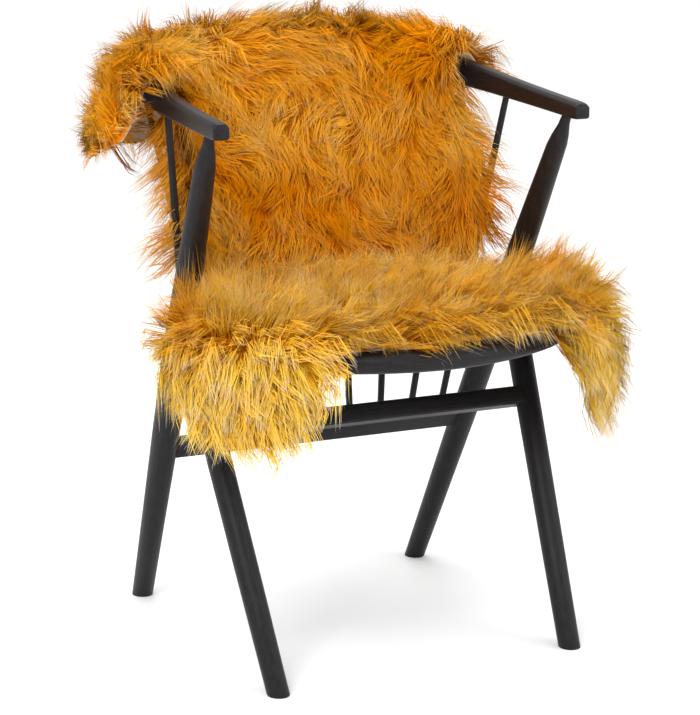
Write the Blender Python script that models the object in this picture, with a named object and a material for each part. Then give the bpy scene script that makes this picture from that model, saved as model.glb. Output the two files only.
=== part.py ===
"""A sheepskin rug draped over a spindle-back chair. Metres, +Z up, the chair faces -Y."""
import math

import bmesh
import bpy
import numpy as np

# The middle of the whole object on the floor, measured in the chair's own frame
MIDDLE = (0.0064, -0.0065)

# Chair sizes
GAP = 0.0003
LEG_LEAN = math.atan(0.515)
SEAT_TOP = 0.450
SEAT_THICK = 0.026
SEAT_UNDER = SEAT_TOP - SEAT_THICK
RAIL_FRONT_Z = 0.320
RAIL_FRONT_TALL = 0.026
RAIL_FRONT_DEEP = 0.026
RAIL_BACK_Z = 0.253
RAIL_BACK_TALL = 0.028
RAIL_BACK_DEEP = 0.020
SPINDLE_RADIUS = 0.0055
BOW_WIDTH = 0.022
LEG_SIDES = 16
SPINDLE_SIDES = 8

# Hide sizes
CLEAR = 0.002
EDGE_ROUND = 0.020
EDGE_CLEAR = 0.013
EDGE_LIFT = 0.0068
CREASE_ROUND = 0.070
BOW_ROUND = 0.012
BOW_CLEAR = 0.006
RIM_WIDTH = 0.012
RIM_THICK = 0.020
# Rows of the slab between places along the hide, closer together over the bow
HIDE_ROW_RUNS = (
    ("from", "to", "rows"),
    (-0.458, -0.410, 4),
    (-0.410, -0.320, 14),
    (-0.320, -0.070, 12),
    (-0.070, 0.070, 8),
    (0.070, 0.335, 19),
)
HIDE_COLUMNS = 33
RIM_GAP = 0.0010
RIM_SPLAY = 0.0035
RIM_COMB = 0.60
RIM_SWAY = 0.12
STRIP_INSET = 0.10
LOCK_LONG = 0.048

# Slanted front leg, from the floor up: height, thickness across, and thickness to the rear
FRONT_LEG_ROWS = (
    ("height", "radius", "rear"),
    (0.000, 0.0150, 1.00),
    (0.120, 0.0160, 1.00),
    (0.300, 0.0172, 1.00),
    (0.385, 0.0174, 1.00),
    (0.410, 0.0174, 1.03),
    (SEAT_UNDER - GAP, 0.0174, 1.07),
)
FRONT_LEG_FOOT = (0.2202, -0.2394)
FRONT_LEG_SLOPE = (0.0665, 0.5140)

# Rear leg that runs on up as the arm post
POST_ROWS = (
    ("height", "radius", "rear"),
    (0.000, 0.0150, 1.0),
    (0.150, 0.0172, 1.0),
    (0.300, 0.0196, 1.0),
    (0.420, 0.0205, 1.0),
    (0.500, 0.0192, 1.0),
    (0.600, 0.0166, 1.0),
    (0.680, 0.0140, 1.0),
    (0.694, 0.0118, 1.0),
    (0.710, 0.0078, 1.0),
    (0.7219, 0.0068, 1.0),
)
POST_FOOT = (0.2258, 0.2394)
POST_SLOPE = (0.0525, -0.5154)

# Right half of the bow, from the back's middle to the arm's end
BOW_ROWS = (
    ("x", "y", "under", "tall"),
    (0.0000, 0.2320, 0.7500, 0.0530),
    (0.0450, 0.2312, 0.7500, 0.0530),
    (0.0850, 0.2275, 0.7495, 0.0525),
    (0.1300, 0.2205, 0.7480, 0.0505),
    (0.1700, 0.2090, 0.7465, 0.0480),
    (0.2050, 0.1915, 0.7450, 0.0450),
    (0.2300, 0.1680, 0.7435, 0.0420),
    (0.2440, 0.1390, 0.7415, 0.0385),
    (0.2510, 0.1000, 0.7385, 0.0345),
    (0.2560, 0.0500, 0.7350, 0.0310),
    (0.2590, 0.0000, 0.7315, 0.0280),
    (0.2615, -0.0600, 0.7275, 0.0255),
    (0.2635, -0.1200, 0.7233, 0.0238),
    (0.2640, -0.1640, 0.7205, 0.0228),
    (0.2640, -0.1740, 0.7215, 0.0190),
)

# Right half of the seat's outline, from the back to the front
SEAT_ROWS = (
    ("x", "y"),
    (0.000, 0.1400),
    (0.060, 0.1385),
    (0.118, 0.1310),
    (0.165, 0.1100),
    (0.196, 0.0790),
    (0.212, 0.0560),
    (0.240, 0.0360),
    (0.246, -0.0100),
    (0.262, -0.0520),
    (0.275, -0.0900),
    (0.278, -0.1250),
    (0.266, -0.1620),
    (0.243, -0.1950),
    (0.210, -0.2260),
    (0.176, -0.2500),
    (0.141, -0.2680),
    (0.100, -0.2860),
    (0.050, -0.3000),
    (0.000, -0.3050),
)

# Spindles: place on the back rail, then place under the bow
SPINDLE_ROWS = (
    ("foot_x", "top_x", "top_y"),
    (0.0000, 0.0000, 0.2320),
    (0.0495, 0.0880, 0.2270),
    (0.0990, 0.1700, 0.2090),
    (0.1485, 0.2460, 0.1320),
    (0.1980, 0.2578, 0.0250),
)

# The hide's cut, from its upper end to its front edge. Along is metres from the crease:
# minus runs up the back, plus runs over the seat. Left and right are in spindle spans.
HIDE_CUT = (
    ("along", "left", "right"),
    (-0.468, -0.60, 0.20),
    (-0.452, -0.82, 0.36),
    (-0.430, -0.94, 0.50),
    (-0.395, -0.96, 0.68),
    (-0.360, -0.93, 0.76),
    (-0.330, -0.88, 0.74),
    (-0.290, -0.84, 0.74),
    (-0.225, -0.84, 0.84),
    (-0.150, -0.91, 1.02),
    (-0.080, -0.98, 1.10),
    (0.000, -1.00, 1.09),
    (0.080, -0.99, 1.04),
    (0.120, -0.99, 1.02),
    (0.155, -1.20, 1.26),
    (0.185, -1.52, 1.62),
    (0.225, -1.68, 1.90),
    (0.270, -1.72, 1.92),
    (0.305, -1.66, 1.88),
    (0.328, -1.52, 1.86),
    (0.345, -1.40, 1.85),
)
CUT_END = 0.345
CUT_START = -0.468
# How far the front edge is set back or forward, across the hide
FRONT_EDGE = (
    ("across", "extra"),
    (-1.00, 0.050),
    (-0.917, 0.068),
    (-0.835, 0.060),
    (-0.752, 0.044),
    (-0.67, 0.036),
    (-0.546, 0.034),
    (-0.175, 0.034),
    (0.155, 0.030),
    (0.40, 0.030),
    (0.56, 0.028),
    (0.66, 0.010),
    (0.80, -0.045),
    (0.90, -0.075),
    (1.00, -0.090),
)
# Height of the pile along the hide
PILE_ROWS = (
    ("along", "tall"),
    (-0.505, 0.026),
    (-0.440, 0.032),
    (-0.380, 0.034),
    (-0.300, 0.033),
    (-0.180, 0.036),
    (-0.060, 0.034),
    (0.020, 0.038),
    (0.120, 0.046),
    (0.240, 0.046),
    (0.330, 0.036),
    (0.400, 0.026),
)
# Broad humps and hollows of the pile: centre, spread and height
HUMPS = (
    ("along", "across", "spread", "tall"),
    (-0.300, 0.10, 0.060, 0.008),
    (-0.160, -0.35, 0.050, 0.007),
    (-0.120, 0.45, 0.055, 0.008),
    (-0.040, 0.05, 0.060, -0.008),
    (0.060, 0.20, 0.050, 0.009),
    (0.110, -0.40, 0.050, -0.006),
    (0.190, 0.55, 0.060, 0.006),
    (0.250, -0.60, 0.050, 0.007),
    (0.300, 0.10, 0.050, 0.006),
    (-0.230, -0.75, 0.050, -0.006),
)


def material(name, colour, rough):
    """A plain Principled material for a slot."""
    made = bpy.data.materials.new(name)
    made.use_nodes = True
    shader = made.node_tree.nodes["Principled BSDF"]
    shader.inputs["Base Color"].default_value = (*colour, 1.0)
    shader.inputs["Roughness"].default_value = rough
    return made


def add(name, points, faces, slot):
    """Links a closed mesh as one named object."""
    mesh = bpy.data.meshes.new(name)
    mesh.from_pydata([tuple(float(v) for v in p) for p in points], [], faces)
    shape = bmesh.new()
    shape.from_mesh(mesh)
    bmesh.ops.recalc_face_normals(shape, faces=shape.faces)
    shape.to_mesh(mesh)
    shape.free()
    mesh.update()
    made = bpy.data.objects.new(name, mesh)
    bpy.context.scene.collection.objects.link(made)
    mesh.materials.append(slot)
    return made


def column(table, name, at):
    """Reads a table's named column at a value of its first."""
    heads = table[0]
    rows = np.array(table[1:], float)
    key = rows[:, 0]
    value = rows[:, heads.index(name)]
    order = np.argsort(key)
    return np.interp(at, key[order], value[order])


def tube(rings):
    """Faces of a closed tube of equal rings, with flat ends."""
    count = len(rings[0])
    points = [p for ring in rings for p in ring]
    faces = []
    for r in range(len(rings) - 1):
        for i in range(count):
            j = (i + 1) % count
            faces.append((r * count + i, r * count + j, (r + 1) * count + j, (r + 1) * count + i))
    faces.append(tuple(reversed(range(count))))
    last = (len(rings) - 1) * count
    faces.append(tuple(range(last, last + count)))
    return points, faces


def slanted_leg(name, table, foot, slope, side, slot, grow=0.0):
    """A turned leg made of level slices, so both ends are flat."""
    stretch = 1.0 / math.cos(LEG_LEAN)
    rings = []
    for height, radius, rear in table[1:]:
        ring = []
        for i in range(LEG_SIDES):
            turn = 2 * math.pi * i / LEG_SIDES
            reach = rear if math.sin(turn) > 0 else 1.0
            x = side * (foot[0] + slope[0] * height) + (radius + grow) * math.cos(turn)
            y = foot[1] + slope[1] * height + (radius + grow) * stretch * reach * math.sin(turn)
            ring.append((x, y, height))
        rings.append(ring)
    if grow:
        rings[0] = [(x, y, z - 0.01) for x, y, z in rings[0]]
    points, faces = tube(rings)
    return add(name, points, faces, slot)


def cutter(made):
    """Marks an object as a cutter that isn't part of the chair."""
    made.hide_render = True
    made.display_type = "WIRE"
    return made


def cut(target, tool):
    """Takes one shape from another."""
    change = target.modifiers.new("cut", "BOOLEAN")
    change.operation = "DIFFERENCE"
    change.solver = "EXACT"
    change.object = tool


def rail(name, centre, half, tall, deep, lean, slot):
    """A square rail between two legs, leaning with them."""
    rings = []
    bevel = 0.0025
    corners = (
        (-deep / 2 + bevel, -tall / 2),
        (deep / 2 - bevel, -tall / 2),
        (deep / 2, -tall / 2 + bevel),
        (deep / 2, tall / 2 - bevel),
        (deep / 2 - bevel, tall / 2),
        (-deep / 2 + bevel, tall / 2),
        (-deep / 2, tall / 2 - bevel),
        (-deep / 2, -tall / 2 + bevel),
    )
    for x in (-half, half):
        ring = []
        for v, w in corners:
            y = centre[0] + v * math.cos(lean) + w * math.sin(lean)
            z = centre[1] - v * math.sin(lean) + w * math.cos(lean)
            ring.append((x, y, z))
        rings.append(ring)
    points, faces = tube(rings)
    return add(name, points, faces, slot)


def bow_half():
    """The bow's right half as rows of numbers."""
    return np.array(BOW_ROWS[1:], float)


def smooth_path(points, steps):
    """Points added between rows with a curve through them."""
    rows = np.array(points, float)
    ends = np.vstack([2 * rows[0] - rows[1], rows, 2 * rows[-1] - rows[-2]])
    out = []
    for i in range(1, len(rows)):
        a, b, c, d = ends[i - 1 : i + 3]
        for k in range(steps):
            t = k / steps
            out.append(
                0.5 * (2 * b + (c - a) * t + (2 * a - 5 * b + 4 * c - d) * t**2 + (3 * b - a - 3 * c + d) * t**3)
            )
    out.append(rows[-1])
    return np.array(out)


def bow_line():
    """The whole bow from the left arm's end to the right arm's, as x, y, under, tall."""
    half = bow_half()
    left = half[::-1].copy()
    left[:, 0] *= -1
    return smooth_path(np.vstack([left[:-1], half]), 2)


BOW = bow_line()
BOW_STEP = np.linalg.norm(np.diff(BOW[:, :2], axis=0), axis=1)
BOW_ARC = np.concatenate([[0.0], np.cumsum(BOW_STEP)])
BOW_ARC = BOW_ARC - BOW_ARC[-1] / 2


def bow_at(arc):
    """Centre, outward direction, underside and height of the bow at a distance from its middle."""
    x = np.interp(arc, BOW_ARC, BOW[:, 0])
    y = np.interp(arc, BOW_ARC, BOW[:, 1])
    small = 0.02
    dx = np.interp(arc + small, BOW_ARC, BOW[:, 0]) - np.interp(arc - small, BOW_ARC, BOW[:, 0])
    dy = np.interp(arc + small, BOW_ARC, BOW[:, 1]) - np.interp(arc - small, BOW_ARC, BOW[:, 1])
    size = math.hypot(dx, dy)
    out = np.array([-dy / size, dx / size])
    under = np.interp(arc, BOW_ARC, BOW[:, 2])
    tall = np.interp(arc, BOW_ARC, BOW[:, 3])
    return np.array([x, y]), out, under, tall


def bow_under(x, y):
    """Height of the bow's underside near a point."""
    arcs = np.linspace(BOW_ARC[0], BOW_ARC[-1], 1500)
    far = np.hypot(np.interp(arcs, BOW_ARC, BOW[:, 0]) - x, np.interp(arcs, BOW_ARC, BOW[:, 1]) - y)
    return float(np.interp(arcs[np.argmin(far)], BOW_ARC, BOW[:, 2]))


def make_bow(slot):
    """The bent bow that is both arms and the top rail."""
    rings = []
    bevel = 0.0045
    for i, arc in enumerate(BOW_ARC):
        centre = BOW[i, :2]
        _, out, _, _ = bow_at(arc)
        under = BOW[i, 2]
        top = under + BOW[i, 3]
        w = BOW_WIDTH / 2
        section = (
            (-w + 0.002, under),
            (w - 0.002, under),
            (w, under + 0.002),
            (w, top - bevel),
            (w - bevel, top),
            (-w + bevel, top),
            (-w, top - bevel),
            (-w, under + 0.002),
        )
        rings.append([(centre[0] + out[0] * v, centre[1] + out[1] * v, z) for v, z in section])
    points, faces = tube(rings)
    return add("bow", points, faces, slot)


def rail_top(x, y):
    """Height of the back rail's leaning top face, with its gap."""
    lean = -LEG_LEAN
    y0 = RAIL_BACK_Y + (RAIL_BACK_TALL / 2 + GAP) * math.sin(lean)
    z0 = RAIL_BACK_Z + (RAIL_BACK_TALL / 2 + GAP) * math.cos(lean)
    return z0 - (y - y0) * math.tan(lean)


def make_spindle(name, side, row, slot):
    """A spindle whose ends follow the rail's top and the bow's underside."""
    foot_x, top_x, top_y = row
    low = np.array([side * foot_x, RAIL_BACK_Y - 0.004, RAIL_BACK_Z + 0.018])
    high = np.array([side * top_x, top_y, bow_under(side * top_x, top_y)])
    run = high - low
    across = np.cross(run, (0.0, 1.0, 0.0))
    across /= np.linalg.norm(across)
    deep = np.cross(across, run)
    deep /= np.linalg.norm(deep)
    rings = []
    swell = ((0.0, 0.92), (0.35, 1.0), (0.75, 0.96), (1.0, 0.86))
    for t, size in swell:
        ring = []
        for i in range(SPINDLE_SIDES):
            turn = 2 * math.pi * (i + 0.5) / SPINDLE_SIDES
            offset = SPINDLE_RADIUS * size * (math.cos(turn) * across + math.sin(turn) * deep)
            if t == 0.0:
                p = low + offset
                for _ in range(12):
                    p = p + run * (rail_top(p[0], p[1]) - p[2]) / run[2]
            elif t == 1.0:
                p = high + offset
                for _ in range(6):
                    p = p + run * (bow_under(p[0], p[1]) - GAP - p[2]) / run[2]
            else:
                p = low + run * t + offset
            ring.append(tuple(p))
        rings.append(ring)
    points, faces = tube(rings)
    return add(name, points, faces, slot)


def seat_outline(steps=2):
    """The seat's outline anticlockwise from above, starting at the front's middle."""
    half = smooth_path(np.array(SEAT_ROWS[1:], float), steps)
    right = half[::-1]
    left = half[1:-1].copy()
    left[:, 0] *= -1
    return np.vstack([right, left])


def grown(outline, by):
    """The outline moved outwards by a distance."""
    before = np.roll(outline, 1, axis=0)
    after = np.roll(outline, -1, axis=0)
    run = after - before
    run /= np.linalg.norm(run, axis=1)[:, None]
    return outline + by * np.stack([run[:, 1], -run[:, 0]], axis=1)


def make_seat(slot):
    """The seat board with rounded edges, notched round the leg and post on each side."""
    outline = seat_outline()
    profile = ((-0.010, 0.0), (-0.003, 0.004), (0.0, 0.011), (-0.001, 0.019), (-0.005, 0.0245), (-0.010, 0.026))
    rings = []
    for inset, rise in profile:
        ring = [(x, y, SEAT_UNDER + rise) for x, y in grown(outline, inset)]
        rings.append(ring)
    points, faces = tube(rings)
    made = add("seat", points, faces, slot)
    for side, word in ((-1, "left"), (1, "right")):
        tool = slanted_leg(f"notch_{word}", POST_ROWS, POST_FOOT, POST_SLOPE, side, slot, GAP)
        cut(made, cutter(tool))
    return made


# The hide's shape as functions of along and across, used by the slab and by the rim strips

CREASE_LINE = (
    ("across", "x", "y"),
    (0.00, 0.0000, 0.1480),
    (0.25, 0.0620, 0.1465),
    (0.50, 0.1190, 0.1380),
    (0.75, 0.1690, 0.1130),
    (1.00, 0.2090, 0.0720),
    (1.15, 0.2150, 0.0450),
)
BOW_REACH = (
    ("across", "arc"),
    (0.00, 0.000),
    (0.25, 0.090),
    (0.50, 0.182),
    (0.75, 0.283),
    (1.00, 0.395),
    (1.15, 0.455),
)
SEAT_EDGE = grown(seat_outline(3), EDGE_CLEAR)
EDGE_RUN = np.roll(SEAT_EDGE, -1, axis=0) - SEAT_EDGE
EDGE_SIZE2 = np.maximum((EDGE_RUN**2).sum(axis=1), 1e-12)
BACK_LENGTH = 0.335


def signed(table, name, across):
    """A table made for the right half, mirrored for the left."""
    return math.copysign(1.0, across) * column(table, name, abs(across))


def seat_point(across, along):
    """A point of the hide laid flat at seat height, before it falls over the edge."""
    inner = min(abs(across), 1.0)
    x = column(CREASE_LINE, "x", inner) + max(abs(across) - 1.0, 0.0) * 0.20
    y = column(CREASE_LINE, "y", inner)
    ease = min(max(along / 0.20, 0.0), 1.0)
    y = y + (0.100 - y) * 0.55 * ease * ease
    return np.array([math.copysign(x, across), y - along])


def over_edge(flat, flare):
    """Lets a flat point past the seat's edge fall down beside it."""
    p = np.array(flat)
    t = np.clip(((p - SEAT_EDGE) * EDGE_RUN).sum(axis=1) / EDGE_SIZE2, 0.0, 1.0)
    near = SEAT_EDGE + EDGE_RUN * t[:, None]
    gap = np.linalg.norm(p - near, axis=1)
    k = int(np.argmin(gap))
    run = EDGE_RUN[k] / math.sqrt(EDGE_SIZE2[k])
    out = np.array([run[1], -run[0]])
    side = float((p - near[k]) @ out)
    far = gap[k] if side > 0 else -gap[k]
    start = -EDGE_ROUND
    if far <= start:
        sag = min(max((start - far) / 0.030, 0.0), 1.0)
        return np.array([p[0], p[1], -(CLEAR - GAP) * sag * sag * (3 - 2 * sag)])
    if side > 0 and gap[k] > 1e-6:
        out = (p - near[k]) / gap[k]
    rise = EDGE_LIFT * min((far - start) / 0.012, 1.0)
    bend = math.pi / 2 - flare
    turn = (far - start) / EDGE_ROUND
    if turn < bend:
        reach = start + EDGE_ROUND * math.sin(turn)
        drop = EDGE_ROUND * (1 - math.cos(turn))
    else:
        rest = (turn - bend) * EDGE_ROUND
        reach = start + EDGE_ROUND * math.sin(bend) + rest * math.cos(bend)
        drop = EDGE_ROUND * (1 - math.cos(bend)) + rest * math.sin(bend)
    spot = near[k] + out * reach
    return np.array([spot[0], spot[1], rise - drop])


def rounded(points, radii, distance):
    """A point on a path of straight runs with rounded corners."""
    ends = [np.array(p, float) for p in points]
    pieces = []
    start = ends[0]
    for i in range(1, len(ends) - 1):
        into = ends[i] - ends[i - 1]
        away = ends[i + 1] - ends[i]
        into_size = np.linalg.norm(into)
        away_size = np.linalg.norm(away)
        into = into / into_size
        away = away / away_size
        turn = math.acos(max(-1.0, min(1.0, float(into @ away))))
        trim = min(radii[i - 1] * math.tan(turn / 2), 0.48 * into_size, 0.48 * away_size)
        pieces.append(("line", start, ends[i] - into * trim))
        pieces.append(("arc", ends[i] - into * trim, ends[i] + away * trim, ends[i], turn, trim))
        start = ends[i] + away * trim
    pieces.append(("line", start, ends[-1]))
    for n, piece in enumerate(pieces):
        last = n == len(pieces) - 1
        if piece[0] == "line":
            size = np.linalg.norm(piece[2] - piece[1])
            if distance <= size or last:
                return piece[1] + (piece[2] - piece[1]) * (distance / max(size, 1e-9))
            distance -= size
        else:
            _, a, b, corner, turn, trim = piece
            radius = trim / max(math.tan(turn / 2), 1e-9)
            size = radius * turn
            if distance <= size:
                u = (corner - a) / trim
                v = (b - corner) / trim
                side = v - u * math.cos(turn)
                side = side / max(np.linalg.norm(side), 1e-9)
                angle = distance / radius
                return a + radius * (math.sin(angle) * u + (1 - math.cos(angle)) * side)
            distance -= size
    return start


def hide_point(across, along):
    """The hide's flesh side in space."""
    reach = max(-1.15, min(1.15, across))
    arc = signed(BOW_REACH, "arc", reach)
    centre, out, under, tall = bow_at(arc)
    top = under + tall + 0.7 * BOW_CLEAR
    half = BOW_WIDTH / 2 + BOW_CLEAR
    lift = SEAT_TOP + CLEAR
    base = np.array([signed(CREASE_LINE, "x", reach), column(CREASE_LINE, "y", abs(reach)), lift])
    inner = np.array([*(centre - out * half), top])
    outer = np.array([*(centre + out * half), top])
    flare = 0.20 + 0.60 * max(0.0, abs(reach) - 0.4)
    hang = np.array([*(centre + out * (half + 0.25 * flare)), top - 0.25])
    forward = np.array([*seat_point(reach, 0.60), lift])
    up = np.linalg.norm(inner - base)
    if along > 0.10:
        flat = seat_point(across, along)
        tilt = 0.16 if across > 0 else 0.10
        fallen = over_edge(flat, tilt)
        return np.array([fallen[0], fallen[1], fallen[2] + lift])
    path = [hang, outer, inner, base, forward]
    hang_size = 0.25 * math.sqrt(1 + flare**2)
    # Rounded corners shorten the path, so the crease keeps its place from the bow's side
    corner = math.pi / 2 - math.atan2(np.linalg.norm(inner[:2] - base[:2]), inner[2] - base[2])
    lost = 2 * BOW_ROUND * (2 - math.pi / 2) + (2 * CREASE_ROUND * math.tan(corner / 2) - CREASE_ROUND * corner)
    start = hang_size + BOW_WIDTH + 2 * CLEAR + up - lost + 0.012
    scale = up / BACK_LENGTH if along < 0 else 1.0
    spot = rounded(path, (BOW_ROUND, BOW_ROUND, CREASE_ROUND), start + along * scale)
    if along > 0:
        flat = seat_point(across, along)
        ease = min(along / 0.10, 1.0)
        ease = ease * ease * (3 - 2 * ease)
        spot = np.array([*(spot[:2] * (1 - ease) + flat * ease), spot[2] * (1 - ease) + lift * ease])
    return spot


def ripple(a, b, seed):
    """Smooth uneven noise from a few sines."""
    total = 0.0
    for k in range(5):
        turn = 1.7 * k + seed
        reach = 1.0 + 0.55 * k
        total += math.sin(reach * (a * math.cos(turn) + b * math.sin(turn)) + 2.1 * k + seed) / (1 + 0.3 * k)
    return total / 3.0


def pile(across, along):
    """Height of the wool above the flesh side."""
    tall = column(PILE_ROWS, "tall", along)
    for hump_along, hump_across, spread, size in HUMPS[1:]:
        far = ((along - hump_along) ** 2 + (0.21 * (across - hump_across)) ** 2) / spread**2
        tall += size * math.exp(-far)
    tall += 0.0045 * ripple(along * 95, across * 21, 0.4)
    tall += 0.0030 * ripple(along * 190, across * 40, 2.2)
    return tall


def cut_at(row, step):
    """Left and right ends of the hide's cut, in across, at a share of its length."""
    along = CUT_START + (CUT_END - CUT_START) * row
    left = column(HIDE_CUT, "left", along)
    right = column(HIDE_CUT, "right", along)
    across = left + (right - left) * step
    # The front edge isn't straight, so rows bend towards it over the seat
    fade = max(0.0, (row - 0.55) / 0.45)
    extra = column(FRONT_EDGE, "extra", step * 2 - 1) * fade * fade
    # The upper edge bows between its two lobes
    back = max(0.0, (0.25 - row) / 0.25)
    dip = 0.030 * math.cos(math.pi * (step - 0.55)) ** 2 * back
    return across, along + extra + dip


def frame_at(row, step):
    """Flesh-side point and the direction of the pile there."""
    small = 0.004
    spots = []
    for dr, ds in ((0, 0), (small, 0), (-small, 0), (0, small), (0, -small)):
        across, along = cut_at(row + dr, step + ds)
        spots.append(hide_point(across, along))
    down = spots[1] - spots[2]
    side = spots[3] - spots[4]
    normal = np.cross(down, side)
    normal = normal / np.linalg.norm(normal)
    return spots[0], normal


def slab_grid():
    """Place on the cut, flesh-side point, pile direction and pile height for each point of the slab."""
    places = []
    for start, stop, number in HIDE_ROW_RUNS[1:]:
        places += list(np.linspace(start, stop, number, endpoint=False))
    places.append(HIDE_ROW_RUNS[-1][1])
    rows = (np.array(places) - CUT_START) / (CUT_END - CUT_START)
    even = np.linspace(0, 1, HIDE_COLUMNS)
    steps = 0.55 * even + 0.45 * (0.5 - 0.5 * np.cos(math.pi * even))
    grid = []
    for row in rows:
        width = (cut_at(row, 1.0)[0] - cut_at(row, 0.0)[0]) * 0.22
        side_inset = RIM_WIDTH / width
        line = []
        for step in steps:
            s = side_inset + (1 - 2 * side_inset) * step
            spot, normal = frame_at(row, s)
            edge = min(step, 1 - step) * width
            end = min(row - rows[0], rows[-1] - row) * (CUT_END - CUT_START)
            near = min(edge, end) / 0.030
            swell = math.sqrt(max(0.0, 1 - max(0.0, 1 - near) ** 2))
            tall = RIM_THICK + (pile(*cut_at(row, s)) - RIM_THICK) * swell
            line.append(((row, s), spot, normal, tall))
        grid.append(line)
    return grid


def make_slab(grid, slot):
    """The hide with its pile as one lumpy draped slab."""
    rows = range(len(grid))
    low = [spot for line in grid for _, spot, _, _ in line]
    high = [spot + normal * tall for line in grid for _, spot, normal, tall in line]
    count = HIDE_COLUMNS
    total = len(low)
    faces = []
    for r in range(len(rows) - 1):
        for c in range(count - 1):
            i = r * count + c
            faces.append((i, i + 1, i + count + 1, i + count))
            j = i + total
            faces.append((j, j + count, j + count + 1, j + 1))
    loop = list(range(count))
    loop += [r * count + count - 1 for r in range(1, len(rows))]
    loop += [(len(rows) - 1) * count + c for c in range(count - 2, -1, -1)]
    loop += [r * count for r in range(len(rows) - 2, 0, -1)]
    for k, i in enumerate(loop):
        j = loop[(k + 1) % len(loop)]
        faces.append((i, i + total, j + total))
        faces.append((i, j + total, j))
    made = add("fleece", low + high, faces, slot)
    return made


# Rim strips: which edge, the share of it that each covers, and how its locks lean.
# Lift turns them up from the skin and fall turns them down to the floor.
RIM_ROWS = (
    ("edge", "from", "to", "lift", "fall", "size", "clear"),
    ("left", 0.00, 0.16, 0.10, 0.30, 0.90, 0.0016),
    ("left", 0.16, 0.31, 0.35, 0.10, 0.70, 0.0000),
    ("left", 0.31, 0.43, 0.80, 0.10, 0.75, 0.0000),
    ("left", 0.43, 0.53, 0.80, 0.10, 0.80, 0.0000),
    ("left", 0.82, 0.98, 0.25, 0.80, 1.00, 0.0000),
    ("right", 0.00, 0.16, 0.20, 0.10, 0.85, 0.0000),
    ("right", 0.16, 0.31, 0.60, 0.00, 0.85, 0.0000),
    ("right", 0.31, 0.43, 0.80, 0.10, 0.80, 0.0000),
    ("right", 0.43, 0.53, 0.60, 0.10, 0.90, 0.0000),
    ("right", 0.82, 0.95, 0.30, 0.60, 0.80, 0.0000),
    ("front", 0.00, 0.157, 0.20, 1.30, 1.00, 0.0000),
    ("front", 0.157, 0.28, 0.30, 0.80, 0.80, 0.0045),
    ("front", 0.28, 0.41, 0.70, 0.20, 0.95, 0.0000),
    ("front", 0.41, 0.545, 0.70, 0.20, 0.90, 0.0000),
    ("front", 0.545, 0.67, 0.70, 0.20, 0.90, 0.0010),
    ("front", 0.67, 0.82, 0.30, 0.60, 0.90, 0.0000),
    ("front", 0.82, 1.00, 0.30, 0.60, 0.80, 0.0000),
    ("back", 0.00, 0.20, 0.15, 0.30, 0.95, 0.0000),
    ("back", 0.20, 0.40, 0.20, 0.20, 0.95, 0.0000),
    ("back", 0.40, 0.60, 0.20, 0.20, 0.95, 0.0000),
    ("back", 0.60, 0.80, 0.20, 0.20, 0.95, 0.0000),
    ("back", 0.80, 1.00, 0.20, 0.20, 0.90, 0.0000),
)


def rim_line(grid, edge):
    """The slab's points along one edge, each with the point of the cut's edge beside it."""
    if edge in ("left", "right"):
        line = [row[0 if edge == "left" else -1] for row in grid]
        outer = [hide_point(*cut_at(place[0], 0.0 if edge == "left" else 1.0)) for place, _, _, _ in line]
    else:
        line = grid[0 if edge == "back" else -1]
        outer = [hide_point(*cut_at(0.0 if edge == "back" else 1.0, place[1])) for place, _, _, _ in line]
    stations = []
    last = len(line) - 1
    for n, ((_, spot, normal, _), far) in enumerate(zip(line, outer)):
        along = line[min(n + 1, last)][1] - line[max(n - 1, 0)][1]
        along = along / np.linalg.norm(along)
        out = far - spot
        out = out - normal * float(out @ normal)
        out = out - along * float(out @ along)
        size = max(float(np.linalg.norm(out)), 1e-6)
        out = out / size
        stations.append((spot + out * RIM_GAP, spot + out * max(size, 0.6 * RIM_WIDTH), normal))
    return stations


def between(a, b, share):
    """A rim station part of the way from one to the next."""
    return tuple(p + (q - p) * share for p, q in zip(a, b))


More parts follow.
